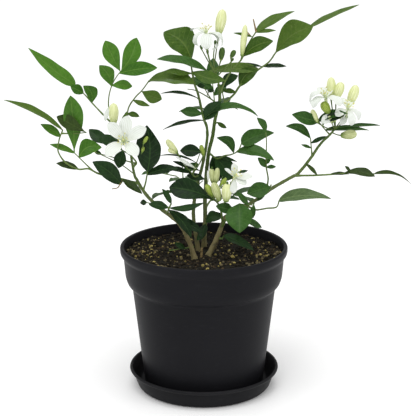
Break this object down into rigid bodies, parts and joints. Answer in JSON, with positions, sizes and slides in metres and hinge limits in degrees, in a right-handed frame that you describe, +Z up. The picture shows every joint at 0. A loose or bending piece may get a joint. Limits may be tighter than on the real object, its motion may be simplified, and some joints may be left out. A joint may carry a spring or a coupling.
{
  "type": "orange jasmine shrub in a nursery pot",
  "caption": "Young flowering evergreen shrub with sparse glossy compound leaves, white blossom and buds, standing in a round plastic nursery pot on a saucer.",
  "frame": {"origin": "centre of the saucer's flat underside, on the surface that the pot stands on", "axes": "+Z up; the front view looks along +Y, with +X to its right"},
  "size_m": [0.3512, 0.176, 0.3411],
  "materials": {
    "pot": "satin moulded black plastic",
    "saucer": "satin moulded black plastic",
    "soil": "moist dark potting soil with bark chips and pale grains",
    "bark": "tan and olive young bark",
    "green_bark": "smooth green young stem",
    "foliage": "glossy green leaf",
    "blossom": "soft white petal"
  },
  "bodies": {
    "root": {"back_high": "foliage", "back_left": "foliage", "back_right": "foliage", "centre_arch": "foliage", "centre_bloom": "foliage", "centre_left": "foliage", "centre_thin": "foliage", "front_low": "foliage", "left_arch": "foliage", "left_bloom": "foliage", "left_bough": "green_bark", "left_crown": "foliage", "left_inner": "foliage", "left_long": "foliage", "left_low": "foliage", "left_stem": "bark", "low_middle": "foliage", "mid_stem_left": "green_bark", "mid_stem_right": "green_bark", "middle_left": "foliage", "middle_right": "foliage", "pot": "pot", "right_bloom": "foliage", "right_bough": "green_bark", "right_long": "foliage", "right_low": "foliage", "right_near": "foliage", "right_shoot": "foliage", "right_stem": "bark", "right_upper_bough": "green_bark", "right_upright": "foliage", "saucer": "saucer", "soil": "soil", "soil_leaf": "foliage", "stem_leaf": "foliage", "top_bloom": "foliage", "top_left": "foliage", "top_middle": "foliage", "top_right": "foliage"}
  },
  "joints": []
}
